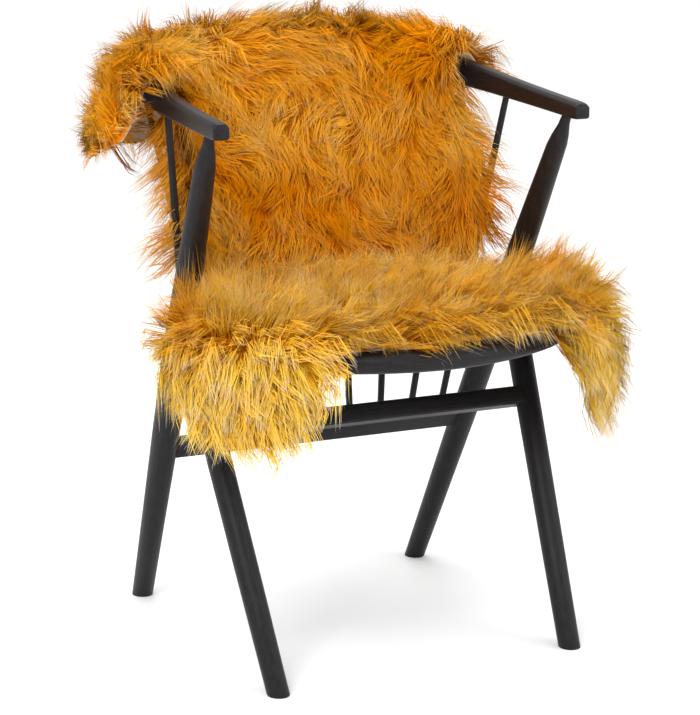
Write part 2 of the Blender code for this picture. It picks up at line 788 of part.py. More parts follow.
def make_strip(name, grid, edge, start, stop, lift, fall, size, clear, slot):
    """A narrow strip of the hide's rim with a row of tapering locks grown from its outer side."""
    line = rim_line(grid, edge)
    first = int(round(start * (len(line) - 1)))
    last = int(round(stop * (len(line) - 1)))
    chosen = line[first : last + 1]
    chosen[0] = between(chosen[0], chosen[1], STRIP_INSET)
    chosen[-1] = between(chosen[-1], chosen[-2], STRIP_INSET)
    count = len(chosen) - 1
    general = sum(outer - inner for inner, outer, _ in chosen)
    general = general / np.linalg.norm(general)
    points, faces, tips = [], [], []
    for inner, outer, normal in chosen:
        out = (outer - inner) / np.linalg.norm(outer - inner)
        near = inner + out * clear
        far = outer + out * clear
        high = near + normal * RIM_THICK * 0.92 + out * RIM_SPLAY
        points += [near, high, far + normal * RIM_THICK * 0.85, far]
        tips.append((inner, outer, normal))
    for k in range(count):
        i = 4 * k
        j = i + 4
        faces.append((i, i + 1, j + 1, j))
        faces.append((i + 1, i + 2, j + 2, j + 1))
        faces.append((i + 3, i, j, j + 3))
        root = np.array([points[i + 2], points[i + 3], points[j + 3], points[j + 2]])
        out = tips[k][1] - tips[k][0] + tips[k + 1][1] - tips[k + 1][0]
        out = out / np.linalg.norm(out) * (1 - RIM_COMB) + general * RIM_COMB
        side = points[j + 3] - points[i + 3]
        side = side / np.linalg.norm(side)
        sway = RIM_SWAY * ripple(k * 0.8 + start * 40, len(edge) * 1.7, 1.1)
        if k in (0, count - 1):
            sway = 0.15 if k == 0 else -0.15
        lean = out + lift * tips[k][2] + fall * np.array([0.0, 0.0, -1.0]) + sway * side
        lean = lean / np.linalg.norm(lean)
        long = LOCK_LONG * size * (1 + 0.30 * ripple(k * 3.1, start * 30 + len(edge), 2.7))
        middle = root.mean(axis=0)
        belly = middle + lean * long * 0.45 + (root - middle) * 0.62
        bend = lean + 0.45 * np.array([0.0, 0.0, -1.0])
        tip = middle + lean * long * 0.45 + bend / np.linalg.norm(bend) * long * 0.55
        at = len(points)
        points += list(belly) + [tip]
        ring = (i + 2, i + 3, j + 3, j + 2)
        for n in range(4):
            m = (n + 1) % 4
            faces.append((ring[n], ring[m], at + m, at + n))
            faces.append((at + n, at + m, at + 4))
    faces.append((3, 2, 1, 0))
    last = 4 * count
    faces.append((last, last + 1, last + 2, last + 3))
    return add(name, points, faces, slot)


black = material("black_wood", (0.018, 0.016, 0.018), 0.42)
wool = material("gold_wool", (0.78, 0.42, 0.06), 0.85)
for old in list(bpy.data.objects):
    bpy.data.objects.remove(old, do_unlink=True)

RAIL_BACK_Y = POST_FOOT[1] + POST_SLOPE[1] * RAIL_BACK_Z
RAIL_FRONT_Y = FRONT_LEG_FOOT[1] + FRONT_LEG_SLOPE[1] * RAIL_FRONT_Z

seat = make_seat(black)
bow = make_bow(black)
front_rail = rail(
    "front_rail", (RAIL_FRONT_Y, RAIL_FRONT_Z), 0.2395, RAIL_FRONT_TALL, RAIL_FRONT_DEEP, LEG_LEAN, black
)
back_rail = rail("back_rail", (RAIL_BACK_Y, RAIL_BACK_Z), 0.2385, RAIL_BACK_TALL, RAIL_BACK_DEEP, -LEG_LEAN, black)
for side, word in ((-1, "left"), (1, "right")):
    leg = slanted_leg(f"front_leg_{word}", FRONT_LEG_ROWS, FRONT_LEG_FOOT, FRONT_LEG_SLOPE, side, black)
    cut(leg, bpy.data.objects[f"notch_{word}"])
    slanted_leg(f"arm_post_{word}", POST_ROWS, POST_FOOT, POST_SLOPE, side, black)
    cut(front_rail, cutter(slanted_leg(
        f"rail_end_{word}", FRONT_LEG_ROWS, FRONT_LEG_FOOT, FRONT_LEG_SLOPE, side, black, GAP
    )))
    cut(back_rail, bpy.data.objects[f"notch_{word}"])
make_spindle("spindle_middle", 1, SPINDLE_ROWS[1], black)
for number, row in enumerate(SPINDLE_ROWS[2:], 1):
    for side, word in ((-1, "left"), (1, "right")):
        make_spindle(f"spindle_{word}_{number}", side, row, black)
grid = slab_grid()
make_slab(grid, wool)
numbers = {"left": 0, "right": 0, "front": 0, "back": 0}
for edge, start, stop, lift, fall, size, clear in RIM_ROWS[1:]:
    numbers[edge] += 1
    make_strip(f"rim_{edge}_{numbers[edge]}", grid, edge, start, stop, lift, fall, size, clear, wool)
for made in bpy.data.objects:
    made.location = (-MIDDLE[0], -MIDDLE[1], 0.0)
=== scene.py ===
# %% [markdown]
# # A sheepskin rug on a spindle-back chair
# A golden sheepskin is thrown over a black chair. It hangs over the top rail, runs down
# the back, lies on the seat and falls over the seat's edge in two flaps.
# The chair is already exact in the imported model, so it keeps its shape here and gets new
# finishes. The hide there is a lumpy slab. This lesson puts a thin suede skin, a dense
# under-wool and thousands of fine tapering locks in its place.

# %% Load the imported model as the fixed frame
import math

import bpy
import numpy as np
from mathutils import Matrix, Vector


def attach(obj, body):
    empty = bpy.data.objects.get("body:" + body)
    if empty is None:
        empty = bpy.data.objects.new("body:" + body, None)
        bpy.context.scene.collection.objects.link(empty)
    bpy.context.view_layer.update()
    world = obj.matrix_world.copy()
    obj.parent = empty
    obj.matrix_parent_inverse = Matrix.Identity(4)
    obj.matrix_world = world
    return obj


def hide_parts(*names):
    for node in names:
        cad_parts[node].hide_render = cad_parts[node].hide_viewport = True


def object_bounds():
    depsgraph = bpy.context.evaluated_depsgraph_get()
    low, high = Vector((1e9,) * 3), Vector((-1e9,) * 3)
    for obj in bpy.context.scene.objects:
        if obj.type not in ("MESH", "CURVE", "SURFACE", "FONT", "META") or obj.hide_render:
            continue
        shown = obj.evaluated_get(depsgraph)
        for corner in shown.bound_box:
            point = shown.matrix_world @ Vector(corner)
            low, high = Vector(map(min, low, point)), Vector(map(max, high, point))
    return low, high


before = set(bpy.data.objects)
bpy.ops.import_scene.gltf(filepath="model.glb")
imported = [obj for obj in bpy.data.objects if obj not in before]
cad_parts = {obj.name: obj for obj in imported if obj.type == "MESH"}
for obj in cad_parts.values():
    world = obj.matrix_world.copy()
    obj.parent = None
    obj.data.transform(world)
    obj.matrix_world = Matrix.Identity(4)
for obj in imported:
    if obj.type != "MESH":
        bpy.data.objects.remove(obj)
CAD_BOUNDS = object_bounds()
print("packed box", [[round(v, 4) for v in corner] for corner in CAD_BOUNDS])

# %% [markdown]
# ## The camera
# The photograph looks at the chair's front from its left, a little from above, with a long
# lens. The lens and the place were worked out from the feet, the arms and the seat's edge.

# %% Place the camera
CAMERA_PLACE = (-1.4495, -2.9797, 1.1055)
CAMERA_DOWN = math.radians(90 - 12.296)
CAMERA_TURN = math.radians(-25.778)
LENS_MM = 122.37

camera_data = bpy.data.cameras.new("photo_camera")
camera_data.lens = LENS_MM
camera_data.sensor_width = 36.0
camera = bpy.data.objects.new("photo_camera", camera_data)
camera.location = CAMERA_PLACE
camera.rotation_euler = (CAMERA_DOWN, 0.0, CAMERA_TURN)
bpy.context.scene.collection.objects.link(camera)
bpy.context.scene.camera = camera
print("camera at", CAMERA_PLACE)

# %% [markdown]
# ## Helpers for materials
# A material is a small network of nodes. These helpers keep each network short: they make
# a node with its values, join two sockets, read a noise at a place, map a value to a range,
# and join a colour, a roughness and a bump to the shader.

# %% Make nodes and join them
def node(tree, kind, **values):
    """A new node. Values are set on its sockets by name, or on the node itself."""
    made = tree.nodes.new(kind)
    for name, value in values.items():
        if hasattr(made, name):
            setattr(made, name, value)
        else:
            made.inputs[name.replace("_", " ")].default_value = value
    return made


def join(tree, start, end):
    """A link from one socket to another."""
    tree.links.new(start, end)


def noise(tree, place, **values):
    """A noise texture that is read at a place."""
    made = node(tree, "ShaderNodeTexNoise", **values)
    join(tree, place, made.inputs["Vector"])
    return made


def ranged(tree, value, **values):
    """A value mapped from one range to another."""
    made = node(tree, "ShaderNodeMapRange", **values)
    join(tree, value, made.inputs["Value"])
    return made.outputs[0]


def times_plus(tree, value, factor, added, **values):
    """A value times a number, plus another value."""
    made = node(tree, "ShaderNodeMath", operation="MULTIPLY_ADD", **values)
    join(tree, value, made.inputs[0])
    made.inputs[1].default_value = factor
    join(tree, added, made.inputs[2])
    return made.outputs[0]


def new_group(name, inputs, outputs):
    """An empty shader group with named inputs and outputs."""
    tree = bpy.data.node_groups.new(name, "ShaderNodeTree")
    for label, kind, value in inputs:
        made = tree.interface.new_socket(name=label, in_out="INPUT", socket_type=kind)
        if value is not None:
            made.default_value = value
    for label, kind in outputs:
        tree.interface.new_socket(name=label, in_out="OUTPUT", socket_type=kind)
    return tree, tree.nodes.new("NodeGroupInput"), tree.nodes.new("NodeGroupOutput")


def new_material(name):
    """A material with an empty Principled shader, its tree and the shader."""
    made = bpy.data.materials.new(name)
    made.use_nodes = True
    tree = made.node_tree
    return made, tree, tree.nodes["Principled BSDF"]


def surface(tree, shader, colour, rough, height, strength, distance):
    """Joins the shader to a colour, a roughness and a bump that is made from a height."""
    bump = node(tree, "ShaderNodeBump", Strength=strength, Distance=distance)
    join(tree, height, bump.inputs["Height"])
    join(tree, colour, shader.inputs["Base Color"])
    join(tree, rough, shader.inputs["Roughness"])
    join(tree, bump.outputs["Normal"], shader.inputs["Normal"])


FLOAT, COLOUR, VECTOR = "NodeSocketFloat", "NodeSocketColor", "NodeSocketVector"

# %% [markdown]
# ## Black-stained wood
# The real chair is ash, stained black and finished with a satin varnish. The stain is
# nearly black with a faint warm tint, and the open pores show as fine long grooves that
# break up the gloss. The grain group stretches a noise along one axis, so each part can
# turn its own grain the way its timber was cut.

# %% The grain group
def make_grain_group():
    tree, put, out = new_group(
        "wood_grain",
        (
            ("Place", VECTOR, None),
            ("Fineness", FLOAT, 1.0),
            ("Stain", COLOUR, (0.0042, 0.0036, 0.0042, 1)),
            ("Pore", COLOUR, (0.014, 0.011, 0.011, 1)),
            ("Satin", FLOAT, 0.36),
        ),
        (("Colour", COLOUR), ("Roughness", FLOAT), ("Height", FLOAT)),
    )
    squeeze = node(tree, "ShaderNodeVectorMath", operation="MULTIPLY")
    squeeze.inputs[1].default_value = (1.0, 1.0, 0.045)
    size = node(tree, "ShaderNodeVectorMath", operation="SCALE")
    join(tree, put.outputs["Place"], squeeze.inputs[0])
    join(tree, squeeze.outputs[0], size.inputs[0])
    join(tree, put.outputs["Fineness"], size.inputs["Scale"])
    pores = noise(tree, size.outputs[0], Scale=900.0, Detail=3.0, Roughness=0.6)
    rings = noise(tree, size.outputs[0], Scale=170.0, Detail=2.0, Distortion=0.6)
    patches = noise(tree, put.outputs["Place"], Scale=14.0, Detail=2.0)
    open_pores = ranged(tree, pores.outputs["Fac"], From_Min=0.52, From_Max=0.68)
    bands = ranged(tree, rings.outputs["Fac"], From_Min=0.42, From_Max=0.62)
    both = times_plus(tree, bands, 0.45, open_pores)
    colour = node(tree, "ShaderNodeMix", data_type="RGBA")
    join(tree, both, colour.inputs["Factor"])
    join(tree, put.outputs["Stain"], colour.inputs["A"])
    join(tree, put.outputs["Pore"], colour.inputs["B"])
    join(tree, colour.outputs["Result"], out.inputs["Colour"])
    wear = times_plus(tree, patches.outputs["Fac"], 0.12, put.outputs["Satin"])
    rough = times_plus(tree, both, 0.10, wear, use_clamp=True)
    join(tree, rough, out.inputs["Roughness"])
    sunk = node(tree, "ShaderNodeMath", operation="SUBTRACT")
    sunk.inputs[0].default_value = 1.0
    join(tree, both, sunk.inputs[1])
    join(tree, sunk.outputs[0], out.inputs["Height"])
    return tree


grain_group = make_grain_group()
print("grain group has", len(grain_group.nodes), "nodes")

# %% [markdown]
# ## One stain, four grain directions
# Legs, posts and spindles are turned from sticks, so their grain stands up. The rails and
# the seat's boards run across. The bow is bent: its grain runs across at the back and
# forward along the arms, so its material swaps the two directions by how far out it is.

# %% Wood materials for the chair's parts
BACK_GRAIN_OUT, ARM_GRAIN_OUT = 0.17, 0.25


def bent_grain(tree, place):
    """Places with the grain across at the back and forward along the arms."""
    parts = node(tree, "ShaderNodeSeparateXYZ")
    join(tree, place, parts.inputs[0])
    out_by = node(tree, "ShaderNodeMath", operation="ABSOLUTE")
    join(tree, parts.outputs["X"], out_by.inputs[0])
    arm = ranged(tree, out_by.outputs[0], From_Min=BACK_GRAIN_OUT, From_Max=ARM_GRAIN_OUT)
    way = node(tree, "ShaderNodeMix", data_type="VECTOR")
    join(tree, arm, way.inputs["Factor"])
    for sources, side in (("YZX", "A"), ("XZY", "B")):
        turned = node(tree, "ShaderNodeCombineXYZ")
        for source, axis in zip(sources, "XYZ"):
            join(tree, parts.outputs[source], turned.inputs[axis])
        join(tree, turned.outputs[0], way.inputs[side])
    return way.outputs["Result"]


def wood(name, turn=(0.0, 0.0, 0.0), fineness=1.0, satin=0.36, bent=False):
    made, tree, shader = new_material(name)
    place = node(tree, "ShaderNodeTexCoord")
    grain = node(tree, "ShaderNodeGroup")
    grain.node_tree = grain_group
    grain.inputs["Fineness"].default_value = fineness
    grain.inputs["Satin"].default_value = satin
    if bent:
        way = bent_grain(tree, place.outputs["Object"])
    else:
        turned = node(tree, "ShaderNodeMapping")
        turned.inputs["Rotation"].default_value = turn
        join(tree, place.outputs["Object"], turned.inputs["Vector"])
        way = turned.outputs[0]
    join(tree, way, grain.inputs["Place"])
    surface(tree, shader, *grain.outputs, strength=0.35, distance=0.0004)
    shader.inputs["Specular IOR Level"].default_value = 0.22
    return made


ACROSS = (0.0, math.pi / 2, 0.0)
turned_wood = wood("black_turned_wood")
seat_wood = wood("black_seat_wood", turn=ACROSS, fineness=0.8, satin=0.40)
rail_wood = wood("black_rail_wood", turn=ACROSS, fineness=1.1)
bow_wood = wood("black_bow_wood", satin=0.30, bent=True)

# %% [markdown]
# ## Turned and sanded parts
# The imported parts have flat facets, because they come from an exact solid. The real legs
# are turned round and the seat, rails and bow are sanded, with soft edges that catch the
# light. So each part is copied, its loose triangles are merged, its sharp edges get a
# small bevel, and it is shaded smooth up to an angle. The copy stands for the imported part.

# %% Copy, soften and paint each chair part
WOOD_FOR = {"seat": seat_wood, "bow": bow_wood, "front_rail": rail_wood, "back_rail": rail_wood}
SANDED = {"seat": 0.0012, "bow": 0.0014, "front_rail": 0.0012, "back_rail": 0.0012}
SANDED_STICK = 0.0007
SAME_PLACE = 0.00002
SHARP, SMOOTH = math.radians(38), math.radians(42)


def only(piece):
    """Selects one object and nothing else."""
    bpy.ops.object.select_all(action="DESELECT")
    bpy.context.view_layer.objects.active = piece
    piece.select_set(True)


def sanded_copy(name, part):
    made = bpy.data.objects.new(name + "_finished", part.data.copy())
    bpy.context.scene.collection.objects.link(made)
    only(made)
    bpy.ops.object.mode_set(mode="EDIT")
    bpy.ops.mesh.select_all(action="SELECT")
    bpy.ops.mesh.remove_doubles(threshold=SAME_PLACE)
    bpy.ops.mesh.tris_convert_to_quads()
    bpy.ops.object.mode_set(mode="OBJECT")
    soft = made.modifiers.new("sanded_edges", "BEVEL")
    soft.width = SANDED.get(name, SANDED_STICK)
    soft.segments = 2
    soft.limit_method = "ANGLE"
    soft.angle_limit = SHARP
    bpy.ops.object.modifier_apply(modifier=soft.name)
    bpy.ops.object.shade_smooth_by_angle(angle=SMOOTH)
    made.data.materials.clear()
    made.data.materials.append(WOOD_FOR.get(name, turned_wood))
    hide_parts(name)
    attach(made, "root")
    return made


chair = []
for name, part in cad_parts.items():
    if name != "fleece" and not name.startswith("rim_"):
        chair.append(sanded_copy(name, part))
print("finished", len(chair), "chair parts")

# %% [markdown]
# ## The hide's path
# The hide is one skin with no seams. Its shape is worked out from two numbers: how far
# along the hide a point lies, measured from the crease between back and seat, and how far
# across, in spaces between spindles. The path goes over the bow, down the spindles, round
# the crease, over the seat and down past its edge. The tables are the same as the ones the
# solids were made from, so the skin lies where its solid does.

# %% Sizes of the chair that the hide follows
MIDDLE = np.array([0.0064, -0.0065, 0.0])
SEAT_TOP = 0.450
BOW_WIDTH = 0.022
CLEAR = 0.002
EDGE_ROUND = 0.020
EDGE_CLEAR = 0.013
EDGE_LIFT = 0.0068
CREASE_ROUND = 0.070
BOW_ROUND = 0.012
BOW_CLEAR = 0.006
BACK_LENGTH = 0.335
HANG = 0.25
ACROSS_END = 1.15
SEAT_SAG, SAG_RUN = 0.0017, 0.030
LIFT_RUN = 0.012
LEFT_FLARE, RIGHT_FLARE = 0.10, 0.16
ON_SEAT = 0.10
OUTER_SPACE = 0.20
STRAIGHT_RUN, STRAIGHT_LINE, STRAIGHT_SHARE = 0.20, 0.100, 0.55

BOW_ROWS = (
    ("x", "y", "under", "tall"),
    (0.0000, 0.232, 0.75, 0.053),
    (0.045, 0.2312, 0.75, 0.053),
    (0.085, 0.2275, 0.7495, 0.0525),
    (0.13, 0.2205, 0.748, 0.0505),
    (0.17, 0.209, 0.7465, 0.048),
    (0.205, 0.1915, 0.745, 0.045),
    (0.23, 0.168, 0.7435, 0.042),
    (0.244, 0.139, 0.7415, 0.0385),
    (0.251, 0.1, 0.7385, 0.0345),
    (0.256, 0.05, 0.735, 0.031),
    (0.259, 0.0000, 0.7315, 0.028),
    (0.2615, -0.06, 0.7275, 0.0255),
    (0.2635, -0.12, 0.7233, 0.0238),
    (0.264, -0.164, 0.7205, 0.0228),
    (0.264, -0.174, 0.7215, 0.019),
)
SEAT_ROWS = (
    ("x", "y"),
    (0.000, 0.14),
    (0.06, 0.1385),
    (0.118, 0.131),
    (0.165, 0.11),
    (0.196, 0.079),
    (0.212, 0.056),
    (0.24, 0.036),
    (0.246, -0.01),
    (0.262, -0.052),
    (0.275, -0.09),
    (0.278, -0.125),
    (0.266, -0.162),
    (0.243, -0.195),
    (0.21, -0.226),
    (0.176, -0.25),
    (0.141, -0.268),
    (0.1, -0.286),
    (0.05, -0.3),
    (0.000, -0.305),
)
print("the bow has", len(BOW_ROWS) - 1, "rows and the seat", len(SEAT_ROWS) - 1)

# %% Tables of the hide itself
HIDE_CUT = (
    ("along", "left", "right"),
    (-0.468, -0.6, 0.2),
    (-0.452, -0.82, 0.36),
    (-0.43, -0.94, 0.5),
    (-0.395, -0.96, 0.68),
    (-0.36, -0.93, 0.76),
    (-0.33, -0.88, 0.74),
    (-0.29, -0.84, 0.74),
    (-0.225, -0.84, 0.84),
    (-0.15, -0.91, 1.02),
    (-0.08, -0.98, 1.1),
    (0.000, -1.00, 1.09),
    (0.08, -0.99, 1.04),
    (0.12, -0.99, 1.02),
    (0.155, -1.2, 1.26),
    (0.185, -1.52, 1.62),
    (0.225, -1.68, 1.9),
    (0.27, -1.72, 1.92),
    (0.305, -1.66, 1.88),
    (0.328, -1.52, 1.86),
    (0.345, -1.4, 1.85),
)
CUT_START, CUT_END = HIDE_CUT[1][0], HIDE_CUT[-1][0]
FRONT_EDGE = (
    ("across", "extra"),
    (-1.00, 0.05),
    (-0.917, 0.068),
    (-0.835, 0.06),
    (-0.752, 0.044),
    (-0.67, 0.036),
    (-0.546, 0.034),
    (-0.175, 0.034),
    (0.155, 0.03),
    (0.4, 0.03),
    (0.56, 0.028),
    (0.66, 0.01),
    (0.8, -0.045),
    (0.9, -0.075),
    (1.00, -0.09),
)
CREASE_LINE = (
    ("across", "x", "y"),
    (0.00, 0.0000, 0.148),
    (0.25, 0.062, 0.1465),
    (0.5, 0.119, 0.138),
    (0.75, 0.169, 0.113),
    (1.00, 0.209, 0.072),
    (1.15, 0.215, 0.045),
)
BOW_REACH = (
    ("across", "arc"),
    (0.00, 0.000),
    (0.25, 0.09),
    (0.5, 0.182),
    (0.75, 0.283),
    (1.00, 0.395),
    (1.15, 0.455),
)
PILE_ROWS = (
    ("along", "tall"),
    (-0.505, 0.026),
    (-0.44, 0.032),
    (-0.38, 0.034),
    (-0.3, 0.033),
    (-0.18, 0.036),
    (-0.06, 0.034),
    (0.02, 0.038),
    (0.12, 0.046),
    (0.24, 0.046),
    (0.33, 0.036),
    (0.4, 0.026),
)
HUMPS = (
    ("along", "across", "spread", "tall"),
    (-0.3, 0.1, 0.06, 0.008),
    (-0.16, -0.35, 0.05, 0.007),
    (-0.12, 0.45, 0.055, 0.008),
    (-0.04, 0.05, 0.06, -0.008),
    (0.06, 0.2, 0.05, 0.009),
    (0.11, -0.4, 0.05, -0.006),
    (0.19, 0.55, 0.06, 0.006),
    (0.25, -0.6, 0.05, 0.007),
    (0.3, 0.1, 0.05, 0.006),
    (-0.23, -0.75, 0.05, -0.006),
)
print("the hide's cut has", len(HIDE_CUT) - 1, "rows")

# %% [markdown]
# ## Reading the tables
# Each table has named columns. A value between two rows is read off the straight line
# between them, and the bow and the seat's outline get a smooth curve through their rows.

# %% Curves through the tables
def column(table, name, at):
    """A named column's values, read at places given in the table's first column."""
    heads = table[0]
    rows = np.array(table[1:], float)
    key = rows[:, 0]
    value = rows[:, heads.index(name)]
    order = np.argsort(key)
    return np.interp(at, key[order], value[order])


def smooth_path(points, steps):
    """Points added between rows, on a curve through them."""
    rows = np.array(points, float)
    ends = np.vstack([2 * rows[0] - rows[1], rows, 2 * rows[-1] - rows[-2]])
    out = []
    for i in range(1, len(rows)):
        a, b, c, d = ends[i - 1 : i + 3]
        for k in range(steps):
            t = k / steps
            bend = (2 * a - 5 * b + 4 * c - d) * t**2 + (3 * b - a - 3 * c + d) * t**3
            out.append(0.5 * (2 * b + (c - a) * t + bend))
    out.append(rows[-1])
    return np.array(out)


def mirrored(half):
    """The left half that belongs to a right half, in the opposite order."""
    left = half[::-1].copy()
    left[:, 0] *= -1
    return left


BOW_HALF = np.array(BOW_ROWS[1:], float)
BOW = smooth_path(np.vstack([mirrored(BOW_HALF)[:-1], BOW_HALF]), 2)
BOW_ARC = np.concatenate([[0.0], np.cumsum(np.linalg.norm(np.diff(BOW[:, :2], axis=0), axis=1))])
BOW_ARC = BOW_ARC - BOW_ARC[-1] / 2
print("the bow is", round(float(BOW_ARC[-1] * 2), 3), "m long")

# %% The seat's edge, with the room that the hide keeps from it
def grown(outline, by):
    """An outline moved outwards."""
    run = np.roll(outline, -1, axis=0) - np.roll(outline, 1, axis=0)
    run /= np.linalg.norm(run, axis=1)[:, None]
    return outline + by * np.stack([run[:, 1], -run[:, 0]], axis=1)


seat_half = smooth_path(SEAT_ROWS[1:], 3)
seat_left = mirrored(seat_half[1:-1])[::-1]
SEAT_EDGE = grown(np.vstack([seat_half[::-1], seat_left]), EDGE_CLEAR)
EDGE_RUN = np.roll(SEAT_EDGE, -1, axis=0) - SEAT_EDGE
EDGE_SIZE2 = np.maximum((EDGE_RUN**2).sum(axis=1), 1e-12)
print("the seat's edge has", len(SEAT_EDGE), "points")

# %% [markdown]
# ## One point of the skin
# Over the seat, a point is first laid flat and then, if it lies past the seat's edge, it
# is let down beside it round a soft bend. On the back it is measured off along a path with
# rounded corners: down behind the bow, over its top, down the spindles and into the crease.

# %% Where a point of the hide lies
def bow_at(arc):
    """The bow's centre, its way out, its underside and its height, at a length along it."""
    x, y, under, tall = (np.interp(arc, BOW_ARC, BOW[:, k]) for k in range(4))
    ahead, behind = arc + 0.02, arc - 0.02
    dx = np.interp(ahead, BOW_ARC, BOW[:, 0]) - np.interp(behind, BOW_ARC, BOW[:, 0])
    dy = np.interp(ahead, BOW_ARC, BOW[:, 1]) - np.interp(behind, BOW_ARC, BOW[:, 1])
    out = np.array([-dy, dx]) / math.hypot(dx, dy)
    return np.array([x, y]), out, under, tall


def seat_point(across, along):
    """Where a point lies on the seat before it is let down past the edge.

    The rows start along the curved crease and straighten towards the front.
    """
    inner = min(abs(across), 1.0)
    x = column(CREASE_LINE, "x", inner) + max(abs(across) - 1.0, 0.0) * OUTER_SPACE
    y = column(CREASE_LINE, "y", inner)
    ease = min(max(along / STRAIGHT_RUN, 0.0), 1.0)
    y = y + (STRAIGHT_LINE - y) * STRAIGHT_SHARE * ease * ease
    return np.array([math.copysign(x, across), y - along])


def over_edge(flat, flare):
    """A flat point let down beside the seat when it lies past the seat's edge."""
    p = np.array(flat)
    t = np.clip(((p - SEAT_EDGE) * EDGE_RUN).sum(axis=1) / EDGE_SIZE2, 0.0, 1.0)
    near = SEAT_EDGE + EDGE_RUN * t[:, None]
    gap = np.linalg.norm(p - near, axis=1)
    k = int(np.argmin(gap))
    run = EDGE_RUN[k] / math.sqrt(EDGE_SIZE2[k])
    out = np.array([run[1], -run[0]])
    side = float((p - near[k]) @ out)
    far = gap[k] if side > 0 else -gap[k]
    start = -EDGE_ROUND
    if far <= start:
        sag = min(max((start - far) / SAG_RUN, 0.0), 1.0)
        return np.array([p[0], p[1], -SEAT_SAG * sag * sag * (3 - 2 * sag)])
    if side > 0 and gap[k] > 1e-6:
        out = (p - near[k]) / gap[k]
    rise = EDGE_LIFT * min((far - start) / LIFT_RUN, 1.0)
    bend = math.pi / 2 - flare
    turn = (far - start) / EDGE_ROUND
    rest = max(turn - bend, 0.0) * EDGE_ROUND
    turn = min(turn, bend)
    reach = start + EDGE_ROUND * math.sin(turn) + rest * math.cos(bend)
    drop = EDGE_ROUND * (1 - math.cos(turn)) + rest * math.sin(bend)
    spot = near[k] + out * reach
    return np.array([spot[0], spot[1], rise - drop])


def rounded(points, radii, distance):
    """A point on a path of straight runs with rounded corners."""
    ends = [np.array(p, float) for p in points]
    start = ends[0]
    for i in range(1, len(ends) - 1):
        into, away = ends[i] - ends[i - 1], ends[i + 1] - ends[i]
        into_size, away_size = np.linalg.norm(into), np.linalg.norm(away)
        into, away = into / into_size, away / away_size
        turn = math.acos(max(-1.0, min(1.0, float(into @ away))))
        trim = min(radii[i - 1] * math.tan(turn / 2), 0.48 * into_size, 0.48 * away_size)
        a = ends[i] - into * trim
        size = np.linalg.norm(a - start)
        if distance <= size:
            return start + (a - start) * (distance / max(size, 1e-9))
        distance -= size
        radius = trim / max(math.tan(turn / 2), 1e-9)
        if distance <= radius * turn:
            side = away - into * math.cos(turn)
            side = side / max(np.linalg.norm(side), 1e-9)
            angle = distance / radius
            return a + radius * (math.sin(angle) * into + (1 - math.cos(angle)) * side)
        distance -= radius * turn
        start = ends[i] + away * trim
    last = ends[-1] - start
    return start + last * (distance / max(np.linalg.norm(last), 1e-9))


def hide_point(across, along):
    """The hide's flesh side in space, in the chair's own frame."""
    lift = SEAT_TOP + CLEAR
    if along > ON_SEAT:
        fallen = over_edge(seat_point(across, along), RIGHT_FLARE if across > 0 else LEFT_FLARE)
        return fallen + np.array([0.0, 0.0, lift])
    reach = max(-ACROSS_END, min(ACROSS_END, across))
    side = math.copysign(1.0, reach)
    arc = side * column(BOW_REACH, "arc", abs(reach))
    centre, out, under, tall = bow_at(arc)
    top = under + tall + 0.7 * BOW_CLEAR
    half = BOW_WIDTH / 2 + BOW_CLEAR
    crease_x, crease_y = (column(CREASE_LINE, name, abs(reach)) for name in "xy")
    base = np.array([side * crease_x, crease_y, lift])
    inner = np.array([*(centre - out * half), top])
    outer = np.array([*(centre + out * half), top])
    flare = 0.20 + 0.60 * max(0.0, abs(reach) - 0.4)
    hang = np.array([*(centre + out * (half + HANG * flare)), top - HANG])
    forward = np.array([*seat_point(reach, 0.60), lift])
    up = np.linalg.norm(inner - base)
    hang_size = HANG * math.sqrt(1 + flare**2)
    corner = math.pi / 2 - math.atan2(np.linalg.norm(inner[:2] - base[:2]), inner[2] - base[2])
    lost = 2 * BOW_ROUND * (2 - math.pi / 2) + CREASE_ROUND * (2 * math.tan(corner / 2) - corner)
    start = hang_size + BOW_WIDTH + 2 * CLEAR + up - lost + 0.012
    scale = up / BACK_LENGTH if along < 0 else 1.0
    corners = (BOW_ROUND, BOW_ROUND, CREASE_ROUND)
    spot = rounded([hang, outer, inner, base, forward], corners, start + along * scale)
    if along > 0:
        ease = min(along / ON_SEAT, 1.0)
        ease = ease * ease * (3 - 2 * ease)
        flat = np.array([*seat_point(across, along), lift])
        spot = spot * (1 - ease) + flat * ease
    return spot


print("the crease's middle is at", (hide_point(0.0, 0.0) - MIDDLE).round(3))

# %% [markdown]
# ## The hide as a grid
# The skin's outline is wavy, because a hide keeps the shape of the animal. Row 0 is the
# edge that hangs behind the bow and the last row is the front edge. A grid of points over
# the whole hide is worked out once. Directions come from neighbouring points: down the
# hide, across it, and straight out of the skin, which is the way the wool stands.

# %% Work the grid out once
def ripple(a, b, seed):
    """Smooth uneven waves from a few sines."""
    total = 0.0
    for k in range(5):
        turn = 1.7 * k + seed
        reach = 1.0 + 0.55 * k
        wave = np.sin(reach * (a * math.cos(turn) + b * math.sin(turn)) + 2.1 * k + seed)
        total = total + wave / (1 + 0.3 * k)
    return total / 3.0


def cut_at(row, step):
    """A grid point's two numbers, across and along, inside the hide's wavy outline."""
    along = CUT_START + (CUT_END - CUT_START) * row
    left, right = column(HIDE_CUT, "left", along), column(HIDE_CUT, "right", along)
    across = left + (right - left) * step
    fade = max(0.0, (row - 0.55) / 0.45)
    extra = column(FRONT_EDGE, "extra", step * 2 - 1) * fade * fade
    back = max(0.0, (0.25 - row) / 0.25)
    dip = 0.030 * math.cos(math.pi * (step - 0.55)) ** 2 * back
    return across, along + extra + dip


